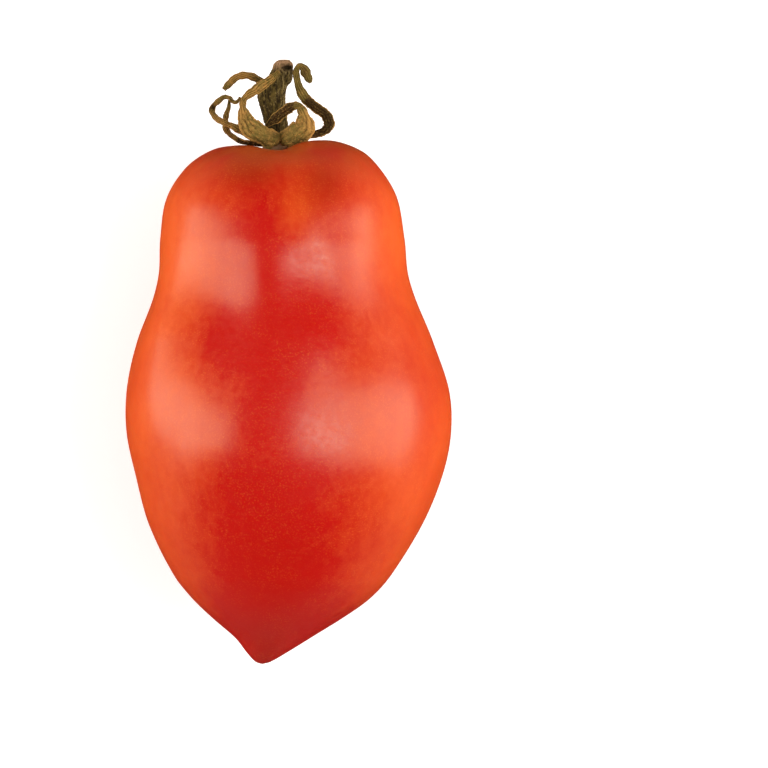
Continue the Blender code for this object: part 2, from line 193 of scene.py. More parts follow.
# Sepal stations from root to tip, in millimetres and degrees: X, Y, height over the
# fruit's axis (Z), width of the blade, and its roll from lying flat to a view from above
SEPAL_STATIONS = {
    "sepal_front_left": (
        (-1.25, 26.95, 1.9, 0.8, 0.0),
        (-1.6, 27.3, 2.75, 2.2, 0.0),
        (-2.2, 27.5, 3.35, 2.4, 0.0),
        (-3.25, 28.0, 3.95, 2.4, 0.0),
        (-4.6, 28.85, 4.6, 2.6, 0.0),
        (-5.2, 29.9, 4.85, 1.9, 0.0),
        (-5.5, 31.15, 4.7, 1.0, 0.0),
        (-5.45, 32.2, 4.3, 0.85, 0.0),
        (-4.85, 32.9, 3.8, 1.0, 0.0),
        (-4.0, 33.5, 3.3, 1.15, 0.0),
        (-3.2, 34.1, 3.0, 1.15, 0.0),
        (-2.4, 34.65, 2.75, 1.05, 0.0),
        (-1.65, 35.3, 2.5, 0.8, 0.0),
        (-1.1, 35.9, 2.3, 0.45, 0.0),
    ),
    "sepal_front_right": (
        (-0.6, 26.95, 1.9, 0.8, 0.0),
        (-0.35, 27.35, 2.55, 2.2, 0.0),
        (0.25, 27.6, 3.4, 2.5, 0.0),
        (1.2, 28.1, 4.0, 3.0, 0.0),
        (2.05, 28.95, 4.45, 2.85, 0.0),
        (2.0, 30.0, 4.8, 1.85, 0.0),
        (1.85, 30.8, 4.75, 1.25, 0.0),
        (1.3, 31.5, 4.5, 1.0, 0.0),
        (0.5, 31.4, 4.0, 1.3, 0.0),
        (-0.4, 30.85, 3.4, 1.4, 0.0),
        (-1.3, 30.15, 2.95, 1.3, 0.0),
        (-2.1, 29.55, 2.6, 0.85, 0.0),
        (-2.7, 29.05, 2.4, 0.45, 0.0),
    ),
    "sepal_right": (
        (0.2, 27.1, 0.2, 1.3, 60.0),
        (1.2, 27.5, 0.2, 1.7, 60.0),
        (2.5, 27.9, 0.2, 1.6, 60.0),
        (4.1, 28.3, 0.2, 1.4, 45.0),
        (5.1, 29.2, 0.2, 1.4, 15.0),
        (4.75, 30.5, 0.3, 1.35, 0.0),
        (3.55, 31.4, 0.5, 1.3, 0.0),
        (2.25, 32.5, 0.8, 1.3, 0.0),
        (1.5, 33.7, 1.1, 1.15, 0.0),
        (1.15, 34.9, 1.4, 0.85, 0.0),
        (1.05, 35.9, 1.6, 0.75, 0.0),
        (1.4, 36.55, 1.65, 0.75, 0.0),
        (1.95, 36.3, 1.55, 1.1, 0.0),
        (2.3, 35.6, 1.45, 1.25, 0.0),
        (2.65, 34.9, 1.35, 0.95, 0.0),
        (2.85, 34.5, 1.3, 0.5, 0.0),
    ),
    "sepal_back": (
        (-1.35, 26.75, -1.7, 1.5, 0.0),
        (-1.35, 27.2, -2.7, 2.1, 0.0),
        (-1.3, 28.0, -3.4, 2.6, 0.0),
        (-1.4, 30.0, -3.8, 2.0, 0.0),
        (-1.8, 32.0, -3.6, 1.4, 0.0),
        (-2.6, 33.8, -3.1, 1.1, 0.0),
        (-3.5, 34.85, -2.5, 1.0, 0.0),
        (-4.5, 35.4, -2.0, 0.95, 0.0),
        (-5.5, 35.55, -1.6, 0.9, 0.0),
        (-6.5, 35.25, -1.3, 0.9, 0.0),
        (-7.3, 34.5, -1.1, 0.85, 0.0),
        (-8.0, 33.75, -1.0, 0.65, 0.0),
    ),
    "sepal_left_outer": (
        (-2.8, 27.3, 0.9, 1.1, 60.0),
        (-3.75, 27.7, 1.2, 1.4, 60.0),
        (-5.0, 28.3, 1.8, 1.4, 40.0),
        (-6.2, 28.8, 2.0, 1.05, 20.0),
        (-7.1, 29.2, 1.9, 0.8, 0.0),
        (-8.0, 29.6, 1.6, 0.75, 0.0),
        (-8.85, 30.1, 1.2, 0.75, 0.0),
        (-9.4, 30.95, 0.8, 0.78, 0.0),
        (-9.2, 31.7, 0.6, 0.75, 0.0),
        (-8.55, 32.3, 0.6, 0.7, 0.0),
        (-7.9, 32.75, 0.8, 0.6, 0.0),
        (-7.2, 32.6, 1.1, 0.55, 0.0),
        (-6.8, 32.15, 1.5, 0.5, 0.0),
        (-6.3, 32.1, 2.1, 0.45, 0.0),
        (-5.9, 32.6, 2.6, 0.35, 0.0),
    ),
    "sepal_left_inner": (
        (-2.7, 26.95, -0.9, 1.2, 75.0),
        (-3.75, 27.15, -1.0, 1.4, 75.0),
        (-5.1, 27.3, -1.1, 1.2, 75.0),
        (-6.25, 27.6, -1.0, 0.9, 60.0),
        (-7.1, 28.1, -0.8, 0.75, 25.0),
        (-7.65, 28.75, -0.5, 0.8, 0.0),
        (-7.8, 29.5, -0.2, 0.75, 0.0),
        (-7.65, 30.6, 0.0, 0.7, 0.0),
        (-7.35, 31.5, 0.0, 0.5, 0.0),
        (-7.3, 32.4, 0.0, 0.35, 0.0),
    ),
}
# Stretches of each sepal, from 0 at the root to 1 at the tip, where its dark inner face shows
INNER_STRETCHES = {
    "sepal_front_right": ((0.60, 1.0),),
    "sepal_right": ((0.0, 0.575),),
    "sepal_back": ((0.0, 0.56),),
    "sepal_left_outer": ((0.0, 0.15), (0.58, 0.64)),
    "sepal_left_inner": ((0.0, 0.38),),
}
# Places where the sepals are brighter gold (on the outer side of the front right sepal partly
# painted light), gold along the rim, dry green and dark brown (under the front sepals painted
# shade): X and Y of the middle, width and height in millimetres, and how much
GOLDEN_ZONES = {
    # The next zone is partly golden colour and partly painted light, where the right lights fall.
    "outer side of the front right sepal, partly painted light": (3.0, 29.4, 1.0, 1.8, 0.85),
    "fold of the front left sepal": (-5.7, 30.4, 0.7, 1.8, 0.6),
    "strip of the front left sepal": (-4.2, 33.0, 1.3, 1.3, 0.5),
    "middle of the left outer sepal": (-8.3, 29.7, 1.0, 0.8, 0.6),
    "lower bend of the left inner sepal": (-7.2, 28.2, 0.8, 0.9, 0.65),
    "arch of the rear sepal": (-5.9, 35.5, 1.6, 0.7, 0.9),
}
RIM_ZONES = {
    "rim where the front sepals meet": (-1.3, 28.5, 1.2, 0.3, 0.9),
}
OLIVE_ZONES = {
    "low part of the front left sepal": (-3.0, 28.1, 1.7, 1.0, 0.65),
    "low part of the front right sepal": (0.6, 28.1, 1.6, 1.1, 0.7),
}
BROWN_ZONES = {
    "foot of the front sepals": (-1.6, 28.0, 0.9, 0.5, 0.4),
    # The next two zones are painted shade under the front sepals.
    "painted shadow under the front left sepal": (-4.2, 27.0, 1.6, 0.45, 0.8),
    "painted shade on the underside of the front right sepal": (1.8, 27.3, 1.2, 0.4, 0.5),
    "bend of the right sepal": (2.05, 35.8, 0.35, 0.8, 0.6),
}
# The other sepals are golden
OLIVE_SEPALS = ("sepal_right",)
# How much of a sepal of each tint is golden, and how much of its rim
GOLDEN_SHARES = {"golden": (0.8, 0.8), "olive": (0.25, 0.1)}
# Length over which the ends of the dark inner stretches fade, as a share of the sepal
INNER_FADE = 0.03
# Where along a sepal its ridges begin and are full, and how deep they are at both places
RIDGE_FADE = (0.03, 0.18, 0.15, 1.0)
# Frayed edges: size of the teeth in metres, their depth as a share of the half width, and the
# half width in metres past which they grow no deeper
FRAY_SIZE = 0.0008
FRAY_SHARE = 0.17
FRAY_HALF_WIDTH = 0.00065
# The ridges' wandering: its size in metres, and how far it goes in radians
WANDER_SIZE = 0.0011
WANDER_TURN = 9.0
# How far the random folds of one sepal are shifted from the next one's, in metres
SEED_STEP = 0.01

# The stage, in metres: half the floor's width, and the softboxes' places, widths and heights
FLOOR_HALF_WIDTH = 1.5
SIDE_BOX_PLACES = {"left_softbox": (-0.5, 0.03, 0.43), "right_softbox": (0.5, 0.03, 0.43)}
SIDE_BOX_AIM = (0.0, 0.03, 0.43)
SIDE_BOX_SIZE = (0.30, 0.86)
UPPER_BOX_PLACE = (0.44, 0.03, 0.91)
UPPER_BOX_SIZE = (0.23, 0.26)
FILL_BOX_PLACE = (0.0, 0.0, 0.95)
FILL_BOX_SIZE = (1.3, 1.3)
WHITE = (1.0, 1.0, 1.0)
# Width of the camera's sensor in millimetres
SENSOR_WIDTH = 36.0


def length(label, description, default):
    return FloatProperty(
        name=label, description=description, default=default, unit="LENGTH", subtype="DISTANCE"
    )


def share(label, description, default):
    return FloatProperty(
        name=label, description=description, default=default, min=0.0, max=1.0, subtype="FACTOR"
    )


def positive(label, description, default):
    return FloatProperty(name=label, description=description, default=default, min=0.0)


def whole(label, description, default, least):
    return IntProperty(name=label, description=description, default=default, min=least)


def color(label, description, default):
    return FloatVectorProperty(
        name=label, description=description, default=default, size=3, subtype="COLOR", min=0.0, max=1.0
    )


class TomatoSkinSettings(bpy.types.PropertyGroup):
    """Sizes and colours of the fruit's skin"""

    rings: whole("Rings", "Rings of faces from pit to tip", 250, 20)
    segments: whole("Segments", "Faces round the fruit", 300, 20)
    groove_depth: length("Groove depth", "Depth of the groove between the two lobes", 0.00075)
    crest_dip: length("Crest dip", "How far the shoulder dips where the groove crosses it", 0.0011)
    unevenness: length("Unevenness", "Depth of the slow random waves of the skin", 0.00022)
    red: color("Red", "Ripe red of the skin", (0.50, 0.005, 0.003))
    # Orange is the skin's less ripe colour, and on the flanks also painted light from the side
    # softboxes.
    orange: color("Orange", "Lighter orange of the flanks and shoulder", (0.75, 0.096, 0.011))
    ochre: color("Ochre", "Brownish orange round the stem pit", (0.44, 0.060, 0.004))
    # Maroon darkens the shoulder: partly its own colour, partly painted shade where it faces away from
    # the lights.
    maroon: color("Maroon", "Dark patches on the shoulder", (0.33, 0.010, 0.001))
    gold: color("Gold", "Fine speckles", (0.90, 0.26, 0.03))
    roughness: share("Roughness", "Roughness of the waxy skin", 0.33)


class TomatoStalkSettings(bpy.types.PropertyGroup):
    """Sizes and colours of the stalk"""

    rings: whole("Rings", "Rings of faces along the stalk", 220, 10)
    segments: whole("Segments", "Faces round the stalk", 180, 10)
    rib_depth: length("Rib depth", "Depth of the furrows along the stalk", 0.0001)
    roughness_depth: length("Unevenness", "Depth of the knobs and wrinkles", 0.00014)
    hollow_depth: length("Hollow depth", "Depth of the hollow in the broken joint", 0.0007)
    olive: color("Olive", "Dry green of the ribs", (0.095, 0.063, 0.014))
    # Straw is also the painted light on the stalk's right side.
    straw: color("Straw", "Pale flecks of the dry bark", (0.30, 0.21, 0.085))
    # Dark is painted shade: in the furrows, in the hollow of the joint and behind the front sepals.
    dark: color("Dark", "Furrows and the hollow", (0.022, 0.013, 0.004))
    tan: color("Tan", "Corky rim of the broken joint", (0.34, 0.19, 0.10))


class TomatoSepalSettings(bpy.types.PropertyGroup):
    """Sizes and colours of the sepals"""

    steps: whole("Steps", "Faces along a blade", 240, 10)
    around: whole("Around", "Faces round a blade", 72, 8)
    thickness: length("Thickness", "Thickness of a blade at its middle", 0.00034)
    cup: share("Cup", "How far a blade is cupped, as a share of its half width", 0.34)
    ribs: whole("Ribs", "Lengthwise ridges across a blade", 4, 1)
    rib_depth: length("Rib depth", "Height of the lengthwise ridges", 0.00007)
    wrinkle_depth: length("Wrinkle depth", "Depth of the random wrinkles", 0.00042)
    wrinkle_size: length("Wrinkle size", "Distance between wrinkles", 0.0009)
    golden: color("Golden", "Straw colour of the dry blades", (0.46, 0.235, 0.060))
    olive: color("Olive", "Dry green of the blades", (0.175, 0.125, 0.028))
    # Brown is also painted shade: in the furrows and under the front sepals.
    brown: color("Brown", "Dark brown of veins and inner faces", (0.030, 0.012, 0.003))


class TomatoStageSettings(bpy.types.PropertyGroup):
    """Camera, lights and floor"""

    view_middle: FloatVectorProperty(
        name="View middle",
        description="Point on the level of the fruit's axis at the middle of the picture",
        default=(0.01193, -0.00286, AXIS_HEIGHT * MILLIMETRE),
        size=3,
        subtype="TRANSLATION",
    )
    camera_distance: length("Camera distance", "From that point to the camera", 0.9)
    field: length("Field", "Width of the view at that point", 0.0954)
    side_light: positive("Side light", "Power of each side softbox in watts", 4.2)
    upper_light: positive("Upper light", "Power of the upper right softbox in watts", 2.5)
    fill_light: positive("Fill light", "Power of the overhead fill in watts", 3.4)
    world_light: positive("World light", "Strength of the even light", 0.12)
    light_tint: color("Light tint", "Slightly warm colour of the side softboxes", (1.0, 0.95, 0.86))
    upper_tint: color("Upper light tint", "Nearly neutral colour of the upper box", (0.97, 0.98, 0.98))
    floor: color("Floor", "Pale floor", (0.88, 0.88, 0.88))
    floor_glow: positive("Floor glow", "Light that the floor gives off itself", 0.44)


def opaque(rgb):
    return (rgb[0], rgb[1], rgb[2], 1.0)


class Graph:
    """One node tree, with a call for each kind of node that the trees below repeat."""

    def __init__(self, tree):
        self.tree = tree
        tree.nodes.clear()

    def add(self, kind, settings=None, inputs=None):
        node = self.tree.nodes.new(kind)
        for name, value in (settings or {}).items():
            setattr(node, name, value)
        for key, value in (inputs or {}).items():
            self.feed(node.inputs[key], value)
        return node

    def made(self, kind, settings=None, inputs=None):
        """The first output of a new node."""
        return self.add(kind, settings, inputs).outputs[0]

    def feed(self, socket, value):
        if isinstance(value, bpy.types.NodeSocket):
            self.tree.links.new(value, socket)
        else:
            socket.default_value = value

    def math(self, operation, first, second=0.0):
        return self.made("ShaderNodeMath", {"operation": operation}, {0: first, 1: second})

    def times(self, first, second):
        return self.math("MULTIPLY", first, second)

    def vector(self, operation, first, second=(0.0, 0.0, 0.0)):
        return self.made("ShaderNodeVectorMath", {"operation": operation}, {0: first, 1: second})

    def scaled(self, vector, factor):
        inputs = {0: vector, "Scale": factor}
        return self.made("ShaderNodeVectorMath", {"operation": "SCALE"}, inputs)

    def stretched(self, vector, scale):
        return self.made("ShaderNodeMapping", None, {"Vector": vector, "Scale": scale})

    def between(self, value, low, high, to_low=0.0, to_high=1.0):
        """The value from low to high, smoothly turned into to_low to to_high."""
        inputs = {"Value": value, "From Min": low, "From Max": high, "To Min": to_low, "To Max": to_high}
        return self.made("ShaderNodeMapRange", {"interpolation_type": "SMOOTHSTEP"}, inputs)

    def noise(self, vector, size, detail=2.0, roughness=0.5):
        """Noise whose features are about this size, a number or a socket."""
        scale = 1.0 / size if isinstance(size, float) else self.math("DIVIDE", 1.0, size)
        inputs = {"Vector": vector, "Scale": scale, "Detail": detail, "Roughness": roughness}
        return self.made("ShaderNodeTexNoise", None, inputs)

    def mixed(self, factor, first, second):
        """The first colour, turned into the second by the factor; either may be a socket."""
        node = self.add("ShaderNodeMix", {"data_type": "RGBA"}, {0: factor})
        for socket, value in ((node.inputs[6], first), (node.inputs[7], second)):
            self.feed(socket, value if isinstance(value, bpy.types.NodeSocket) else opaque(value))
        return node.outputs[2]

    def object_place(self):
        """Object coordinates, and their parts along X, Y and Z."""
        place = self.add("ShaderNodeTexCoord").outputs["Object"]
        return place, *self.add("ShaderNodeSeparateXYZ", None, {0: place}).outputs

    def reading(self, name):
        """A number that the piece's points carry."""
        return self.add("ShaderNodeAttribute", {"attribute_name": name}).outputs["Fac"]

    def spot(self, across, along, x, y, wide, tall):
        """1 at the place x, y in millimetres, falling off over the width and height."""
        parts = []
        for value, middle, spread in ((across, x, wide), (along, y, tall)):
            offset = self.math("SUBTRACT", value, middle * MILLIMETRE)
            parts.append(self.math("POWER", self.math("DIVIDE", offset, spread * MILLIMETRE), 2.0))
        return self.math("EXPONENT", self.times(self.math("ADD", *parts), -1.0))

    def tinted(self, shade, across, along, zones, tint):
        """The shade, turned into the tint at each of the zones."""
        for *zone, amount in zones.values():
            shade = self.mixed(self.times(self.spot(across, along, *zone), amount), shade, tint)
        return shade

    def bump(self, height, strength, distance, normal=None):
        inputs = {"Height": height, "Strength": strength, "Distance": distance}
        if normal is not None:
            inputs["Normal"] = normal
        return self.made("ShaderNodeBump", None, inputs)

    def finish_surface(self, inputs, settings=None):
        shader = self.made("ShaderNodeBsdfPrincipled", settings, inputs)
        self.add("ShaderNodeOutputMaterial", None, {"Surface": shader})


def new_graph(name):
    material = bpy.data.materials.new(name)
    material.use_nodes = True
    return material, Graph(material.node_tree)


def skin_material(settings):
    """Waxy tomato skin: mottled red, flanks more orange partly as painted light, deeper red and darker
    zones partly as painted shade, ochre round the pit and fine gold speckles.
    """
    material, graph = new_graph("tomato_skin")
    place, across, along, up = graph.object_place()
    cloud = graph.noise(place, 0.006, 2.0, 0.5)
    grain = graph.noise(place, 0.0008, 3.0, 0.6)
    streak = graph.noise(graph.stretched(place, (1.0, 0.14, 1.0)), 0.0012, 2.0, 0.6)

    # Orange towards both flanks: partly the skin's own colour, partly painted light where the side
    # softboxes light the flanks.
    unripe_and_lit_flank_share = graph.between(graph.math("ABSOLUTE", across), 0.003, 0.019, 0.08, 0.80)
    for waves, amount in ((cloud, 0.08), (grain, 0.06), (streak, 0.045)):
        unripe_and_lit_flank_share = graph.math("ADD", unripe_and_lit_flank_share, graph.between(waves, 0.3, 0.7, -amount, amount))
    for *zone, amount in UNRIPE_ZONES.values():
        unripe_and_lit_flank_share = graph.math("ADD", unripe_and_lit_flank_share, graph.times(graph.spot(across, along, *zone), amount))
    unripe_and_lit_flank_share = graph.made("ShaderNodeClamp", None, {0: unripe_and_lit_flank_share})
    unripe_and_lit_flank_share = graph.times(unripe_and_lit_flank_share, graph.between(up, 0.006, 0.016, 0.5, 1.0))
    shade = graph.mixed(unripe_and_lit_flank_share, settings.red, settings.orange)

    # Darker zones; on the shoulder partly painted shade.
    for *zone, amount in DARK_ZONES.values():
        uneven = graph.between(cloud, 0.3, 0.7, 0.7 * amount, amount)
        dark = graph.times(graph.spot(across, along, *zone), uneven)
        shade = graph.mixed(dark, shade, settings.maroon)
    near_pit = graph.between(along, 0.021, 0.0265)
    near_pit = graph.times(near_pit, graph.between(cloud, 0.35, 0.6, 0.2, 0.7))
    shade = graph.mixed(near_pit, shade, settings.ochre)

    fleck = graph.between(graph.noise(place, 0.0002, 1.0, 0.5), 0.52, 0.74)
    crowd = graph.between(graph.noise(place, 0.004, 2.0, 0.6), 0.35, 0.65, 0.05, 0.15)
    shade = graph.mixed(graph.times(fleck, crowd), shade, settings.gold)

    waviness = graph.noise(place, 0.0016, 2.0, 0.5)
    pores = graph.noise(place, 0.00028, 2.0, 0.6)
    normal = graph.bump(pores, 0.2, 0.00002, graph.bump(waviness, 0.25, 0.00008))
    rough = graph.between(grain, 0.25, 0.75, settings.roughness - 0.05, settings.roughness + 0.05)
    graph.finish_surface(
        {
            "Base Color": shade,
            "Roughness": rough,
            "IOR": 1.45,
            "Specular Tint": (0.94, 0.95, 0.74, 1.0),
            "Subsurface Weight": 0.2,
            "Subsurface Radius": (1.0, 0.22, 0.1),
            "Subsurface Scale": 0.0022,
            "Normal": normal,
        },
        {"subsurface_method": "RANDOM_WALK"},
    )
    return material


def stalk_material(settings):
    """Dry ribbed stalk: olive ribs, furrows darkened as painted shade, straw flecks, a right side paler
    as painted light, corky tan joint, and painted shade in the hollow and behind the front sepals.
    """
    material, graph = new_graph("dry_stalk")
    place, across, along, _ = graph.object_place()
    fibre = graph.noise(graph.stretched(place, (1.0, 0.16, 1.0)), 0.00030, 3.0, 0.6)
    fleck = graph.noise(place, 0.00028, 3.0, 0.7)
    blotch = graph.noise(place, 0.0012, 2.0, 0.6)

    # Painted shade: darker in the furrows between the ribs and knobs, together with the fibres' own
    # streaks.
    furrow_shade_and_fibre = graph.math("ADD", graph.times(graph.reading("height"), 0.4), graph.times(fibre, 0.9))
    shade = graph.mixed(graph.between(furrow_shade_and_fibre, 0.45, 0.85, 0.0, 0.95), settings.dark, settings.olive)
    # Painted light: the stalk's right side is paler where the light falls, along with straw blotches of
    # its own.
    painted_light_on_right_side = graph.between(across, -0.0012, -0.0005, 0.0, 0.6)
    pale = graph.math("ADD", graph.between(blotch, 0.35, 0.65, 0.0, 0.2), painted_light_on_right_side)
    pale = graph.times(graph.between(fibre, 0.46, 0.66), pale)
    shade = graph.mixed(pale, shade, settings.straw)
    shade = graph.mixed(graph.between(fleck, 0.56, 0.70, 0.0, 0.5), shade, settings.straw)

    joint = graph.between(along, 0.0357, 0.0370)
    joint = graph.times(joint, graph.between(fleck, 0.32, 0.58, 0.15, 1.0))
    shade = graph.mixed(joint, shade, settings.tan)
    foot = graph.between(along, 0.0276, 0.0268)
    foot = graph.times(foot, graph.between(fleck, 0.3, 0.6, 0.75, 1.0))
    shade = graph.mixed(foot, shade, settings.tan)
    # Painted shadow behind the front sepals, and painted shade in the hollow of the broken joint.
    painted_shadow = graph.times(graph.spot(across, along, *PAINTED_SHADOW_PLACE), 0.8)
    painted_shade = graph.math("MAXIMUM", graph.reading("hollow"), painted_shadow)
    shade = graph.mixed(painted_shade, shade, settings.dark)

    normal = graph.bump(fleck, 0.5, 0.00006, graph.bump(fibre, 0.6, 0.00010))
    graph.finish_surface(
        {"Base Color": shade, "Roughness": 0.8, "Specular IOR Level": 0.08, "Normal": normal}
    )
    return material


def sepal_material(settings, tint):
    """Dried sepal: straw or olive outside with brown veins and furrows darkened partly as painted shade,
    painted light and shade in a few zones, and a dark inner face.
    """
    material, graph = new_graph("dry_sepal_" + tint)
    place, fruit_x, fruit_y, _ = graph.object_place()
    side, face, along, ridge, stretch = (
        graph.reading(key) for key in ("side", "face", "along", "ridge", "inner")
    )
    strip = graph.made("ShaderNodeCombineXYZ", None, {0: side, 1: graph.times(along, 4.0), 2: face})
    vein = graph.noise(strip, 0.25, 3.0, 0.6)
    streak = graph.noise(graph.stretched(strip, (1.0, 0.35, 1.0)), 0.11, 2.0, 0.6)
    blotch = graph.noise(place, 0.0009, 4.0, 0.65)
    fleck = graph.noise(place, 0.00022, 2.0, 0.6)
    golden_share, rim_share = GOLDEN_SHARES[tint]

    gilded = graph.between(blotch, 0.54, 0.34, 0.0, golden_share)
    shade = graph.mixed(gilded, settings.olive, settings.golden)
    shade = graph.tinted(shade, fruit_x, fruit_y, GOLDEN_ZONES, settings.golden)
    # Darker furrows between the ridges: partly brown veins, partly painted shade in the creases.
    furrow = graph.times(graph.between(ridge, 0.2, -0.9), graph.between(vein, 0.3, 0.6, 0.1, 0.65))
    furrow = graph.times(furrow, graph.between(along, *RIDGE_FADE))
    shade = graph.mixed(furrow, shade, settings.brown)
    shade = graph.mixed(graph.between(streak, 0.50, 0.70, 0.0, 0.75), shade, settings.brown)
    gilded = graph.between(streak, 0.44, 0.32, 0.0, 0.6 * golden_share)
    shade = graph.mixed(gilded, shade, settings.golden)
    for zones, zone_tint in (
        (OLIVE_ZONES, settings.olive),
        (RIM_ZONES, settings.golden),
        (BROWN_ZONES, settings.brown),
    ):
        shade = graph.tinted(shade, fruit_x, fruit_y, zones, zone_tint)

    margin = graph.between(graph.math("ABSOLUTE", side), 0.74, 0.95)
    margin = graph.times(margin, graph.between(along, 0.10, 0.25))
    inner = graph.math("MAXIMUM", stretch, graph.between(face, -0.05, -0.35, 0.0, 0.8))
    inner = graph.times(inner, graph.math("SUBTRACT", 1.0, margin))
    inner = graph.times(inner, graph.between(fleck, 0.42, 0.68, 0.95, 0.55))
    shade = graph.mixed(inner, shade, settings.brown)
    edge = graph.times(margin, graph.between(vein, 0.35, 0.65, 1.0, 0.25))
    edge = graph.times(edge, graph.between(stretch, 0.0, 1.0, rim_share, 0.8))
    shade = graph.mixed(edge, shade, settings.golden)

    shade = graph.mixed(graph.between(fleck, 0.42, 0.28, 0.0, 0.6), shade, settings.brown)
    speckle = graph.between(fleck, 0.57, 0.70, 0.0, 0.9 * golden_share)
    speckle = graph.times(speckle, graph.between(inner, 0.0, 0.8, 1.0, 0.2))
    shade = graph.mixed(speckle, shade, settings.golden)
    normal = graph.bump(fleck, 0.45, 0.00005, graph.bump(vein, 0.6, 0.00012))
    graph.finish_surface(
        {"Base Color": shade, "Roughness": 0.75, "Specular IOR Level": 0.1, "Normal": normal}
    )
    return material


def floor_material(settings):
    """Even matte paper, slightly toothed."""
    material, graph = new_graph("pale_floor")
    place = graph.add("ShaderNodeTexCoord").outputs["Object"]
    graph.finish_surface(
        {
            "Base Color": opaque(settings.floor),
            "Roughness": 0.9,
            "Specular IOR Level": 0.1,
            "Emission Color": opaque(WHITE),
            "Emission Strength": settings.floor_glow,
            "Normal": graph.bump(graph.noise(place, 0.0008), 0.05, 0.00005),
        }
    )
    return material


def chord_lengths(points):
    """Distance along the points at each of them, with the whole as 1."""
    steps = np.linalg.norm(np.diff(np.array(points, float), axis=0), axis=1)
    lengths = np.concatenate([[0.0], np.cumsum(steps)])
    return lengths / lengths[-1]


def smooth_rows(rows, knots, places):
    """The rows' values at places from 0 to 1, on cubic curves through every row."""
    rows = np.array(rows, float)
    numbers = np.arange(len(rows))
    low = np.maximum(numbers - 1, 0)
    high = np.minimum(numbers + 1, len(rows) - 1)
    slopes = (rows[high] - rows[low]) / (knots[high] - knots[low])[:, None]
    after = np.clip(np.searchsorted(knots, places, side="right"), 1, len(rows) - 1)
    before = after - 1
    span = (knots[after] - knots[before])[:, None]
    part = ((places - knots[before]) / span[:, 0])[:, None]
    return (
        (2 * part**3 - 3 * part**2 + 1) * rows[before]
        + (part**3 - 2 * part**2 + part) * span * slopes[before]
        + (3 * part**2 - 2 * part**3) * rows[after]
        + (part**3 - part**2) * span * slopes[after]
    )


def section_columns(sections, rings):
    """The sections' values as columns, at evenly spread places from the first to the last."""
    knots = chord_lengths([(row[0], row[2]) for row in sections])
    rows = smooth_rows(sections, knots, np.linspace(0.0, 1.0, rings + 1))
    return (column[:, None] for column in rows.T)


def angles_round(segments):
    """One row of angles in radians, from +X over the top."""
    return np.linspace(0.0, 2 * math.pi, segments, endpoint=False)[None, :]


def angle_apart(angle, middle):
    """Degrees from angle to middle, the short way round."""
    return (np.degrees(angle) - middle + 180.0) % 360.0 - 180.0


def bell(distance):
    """1 at the distance 0, falling off smoothly to both sides."""
    return np.exp(-(distance**2))


def closed_tube(name, rings, material):
    """A closed mesh over rings of points, whose first and last ring are single points."""
    around, last = rings.shape[1], rings.shape[0] - 2
    points = np.concatenate([rings[:1, 0], rings[1:-1].reshape(-1, 3), rings[-1:, 0]])

    def corner(ring, step):
        return 1 + (ring - 1) * around + step % around

    faces = []
    for step in range(around):
        after = step + 1
        faces.append((0, corner(1, step), corner(1, after)))
        for ring in range(1, last):
            quad = ((ring, step), (ring + 1, step), (ring + 1, after), (ring, after))
            faces.append([corner(*place) for place in quad])
        faces.append((corner(last, step), len(points) - 1, corner(last, after)))
    mesh = bpy.data.meshes.new(name)
    mesh.from_pydata(points.tolist(), [], faces)
    outward(mesh)
    mesh.shade_smooth()
    mesh.materials.append(material)
    return mesh


def outward(mesh):
    """Turns a closed mesh's faces outwards if they point inwards."""
    mesh.calc_loop_triangles()
    points = np.empty(len(mesh.vertices) * 3)
    mesh.vertices.foreach_get("co", points)
    corners = np.empty(len(mesh.loop_triangles) * 3, int)
    mesh.loop_triangles.foreach_get("vertices", corners)
    a, b, c = points.reshape(-1, 3)[corners.reshape(-1, 3)].transpose(1, 0, 2)
    if np.einsum("ij,ij->i", a, np.cross(b, c)).sum() < 0.0:
        mesh.flip_normals()


def place_piece(mesh, name, node):
    """Puts the finished mesh in the scene as the piece that stands for a node of the part."""
    piece = bpy.data.objects.new(name, mesh)
    bpy.context.scene.collection.objects.link(piece)
    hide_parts(node)
    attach(piece, BODY)


def store(mesh, name, values):
    """Gives each point of the mesh a number."""
    attribute = mesh.attributes.new(name, "FLOAT", "POINT")
    attribute.data.foreach_set("value", np.ascontiguousarray(values, np.float32))


